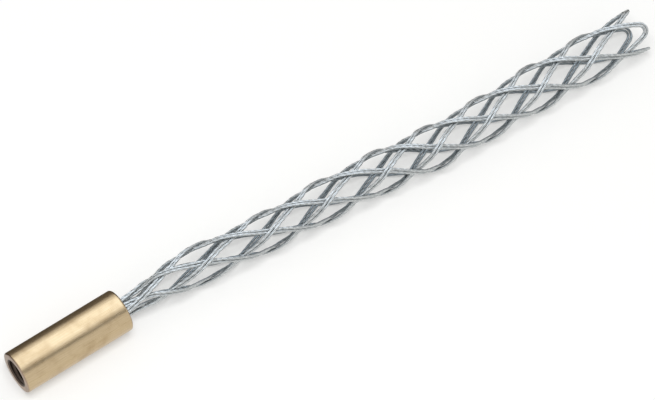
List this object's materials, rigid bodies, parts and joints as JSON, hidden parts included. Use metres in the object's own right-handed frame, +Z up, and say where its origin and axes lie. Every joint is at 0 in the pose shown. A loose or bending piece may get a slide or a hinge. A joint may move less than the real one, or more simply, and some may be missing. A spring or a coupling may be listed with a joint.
{
  "type": "cable pulling grip",
  "caption": "Woven sock of paired galvanised wires, open at one end and held in a threaded brass sleeve at the other, for drawing a cable through a duct.",
  "frame": {"origin": "bottom centre of the grip's box as it lies on a table", "axes": "+X runs along the sleeve from its threaded mouth to the open end of the sock, +Z is up"},
  "size_m": [0.1322, 0.014, 0.0086],
  "materials": {
    "sleeve": "turned brass, finely brushed along its length",
    "wire": "galvanised stranded steel wire, satin",
    "solder": "dull grey solder"
  },
  "bodies": {
    "root": {"threaded_sleeve": "sleeve", "solder_core": "solder", "loop_1_outer_wire": "wire", "loop_1_inner_wire": "wire", "loop_2_outer_wire": "wire", "loop_2_inner_wire": "wire", "loop_3_outer_wire": "wire", "loop_3_inner_wire": "wire", "loop_4_outer_wire": "wire", "loop_4_inner_wire": "wire"}
  },
  "joints": []
}
